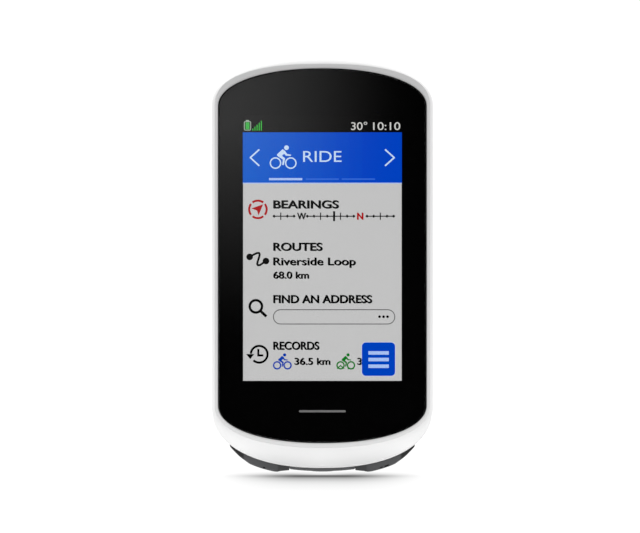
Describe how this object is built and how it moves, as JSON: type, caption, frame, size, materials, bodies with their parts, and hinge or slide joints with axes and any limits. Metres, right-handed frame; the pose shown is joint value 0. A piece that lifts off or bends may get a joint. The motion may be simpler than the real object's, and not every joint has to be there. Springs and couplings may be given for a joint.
{
  "type": "cycling computer",
  "caption": "Handlebar cycling computer with a tall touch display, two keys on its lower edge, a side power key, a covered charging port and a quarter-turn mount on its back.",
  "frame": {"origin": "centre of the quarter-turn mount's outer flat face on the back", "axes": "+Z to the top of the unit, +Y out of the back along the mount's axis, screen facing -Y, +X to the right of the screen"},
  "size_m": [0.0569, 0.0182, 0.1065],
  "materials": {
    "white_plastic": "satin white polycarbonate",
    "dark_plastic": "fine-textured dark grey polycarbonate",
    "key_rubber": "matt dark grey rubber",
    "seal_rubber": "black silicone",
    "cover_glass": "clear polished cover glass",
    "touch_film": "clear laminated touch film",
    "black_ink": "opaque black border print",
    "screen": "lit reflective colour display",
    "foil": "satin metallised foil wrap",
    "aluminium_frame": "stamped and blasted sheet",
    "polyimide": "amber flexible circuit",
    "circuit_board": "green solder mask",
    "shield_steel": "tinned stamped steel",
    "ceramic": "fired ceramic",
    "component_black": "moulded black resin",
    "vent_membrane": "porous white membrane",
    "screw_steel": "zinc plated, turned head",
    "contact_gold": "gold-plated contact"
  },
  "bodies": {
    "root": {"front_housing": "white_plastic", "rear_housing": "dark_plastic", "quarter_turn_insert": "dark_plastic", "contact_block": "dark_plastic", "cap_anchor": "key_rubber", "housing_seal": "seal_rubber", "lap_key_seal": "seal_rubber", "start_key_seal": "seal_rubber", "power_key_seal": "seal_rubber", "mount_gasket": "seal_rubber", "battery_pad": "seal_rubber", "receptacle_tongue": "seal_rubber", "cover_lens": "cover_glass", "touch_sensor": "touch_film", "lens_mask": "black_ink", "display_panel": "screen", "display_backlight": "foil", "battery_cell": "foil", "mid_frame": "aluminium_frame", "display_flex": "polyimide", "battery_lead": "polyimide", "radio_antenna": "polyimide", "main_board": "circuit_board", "shield_can_front": "shield_steel", "shield_can_rear": "shield_steel", "charging_receptacle": "shield_steel", "satellite_antenna": "ceramic", "beeper": "component_black", "lap_switch": "component_black", "start_switch": "component_black", "power_switch": "component_black", "pressure_vent": "vent_membrane", "case_screw_1": "screw_steel", "case_screw_2": "screw_steel", "case_screw_3": "screw_steel", "case_screw_4": "screw_steel", "case_screw_5": "screw_steel", "case_screw_6": "screw_steel", "mount_screw_1": "screw_steel", "mount_screw_2": "screw_steel", "mount_screw_3": "screw_steel", "mount_screw_4": "screw_steel", "board_screw_1": "screw_steel", "board_screw_2": "screw_steel", "board_screw_3": "screw_steel", "board_screw_4": "screw_steel", "contact_pad_1": "contact_gold", "contact_pad_2": "contact_gold", "contact_pad_3": "contact_gold", "contact_pad_4": "contact_gold", "contact_pad_5": "contact_gold"},
    "power_key": {"power_button": "white_plastic", "power_plunger": "seal_rubber"},
    "lap_key": {"lap_button": "key_rubber", "lap_plunger": "seal_rubber"},
    "start_key": {"start_button": "key_rubber", "start_plunger": "seal_rubber"},
    "port_cover": {"weather_cap": "key_rubber"}
  },
  "joints": [
    {"name": "power_key_press", "type": "slide", "parent": "root", "child": "power_key", "axis": [1, 0, 0], "range_m": [0, 0.0004], "stiffness_N_per_m": 2000, "springref_m": -0.0005},
    {"name": "lap_key_press", "type": "slide", "parent": "root", "child": "lap_key", "axis": [0, 0, 1], "range_m": [0, 0.0004], "stiffness_N_per_m": 2000, "springref_m": -0.0005},
    {"name": "start_key_press", "type": "slide", "parent": "root", "child": "start_key", "axis": [0, 0, 1], "range_m": [0, 0.0004], "stiffness_N_per_m": 2000, "springref_m": -0.0005},
    {"name": "port_cover_hinge", "type": "hinge", "parent": "root", "child": "port_cover", "pos_m": [0, -0.00485, -0.0513], "axis": [1, 0, 0], "range_deg": [0, 110]}
  ]
}
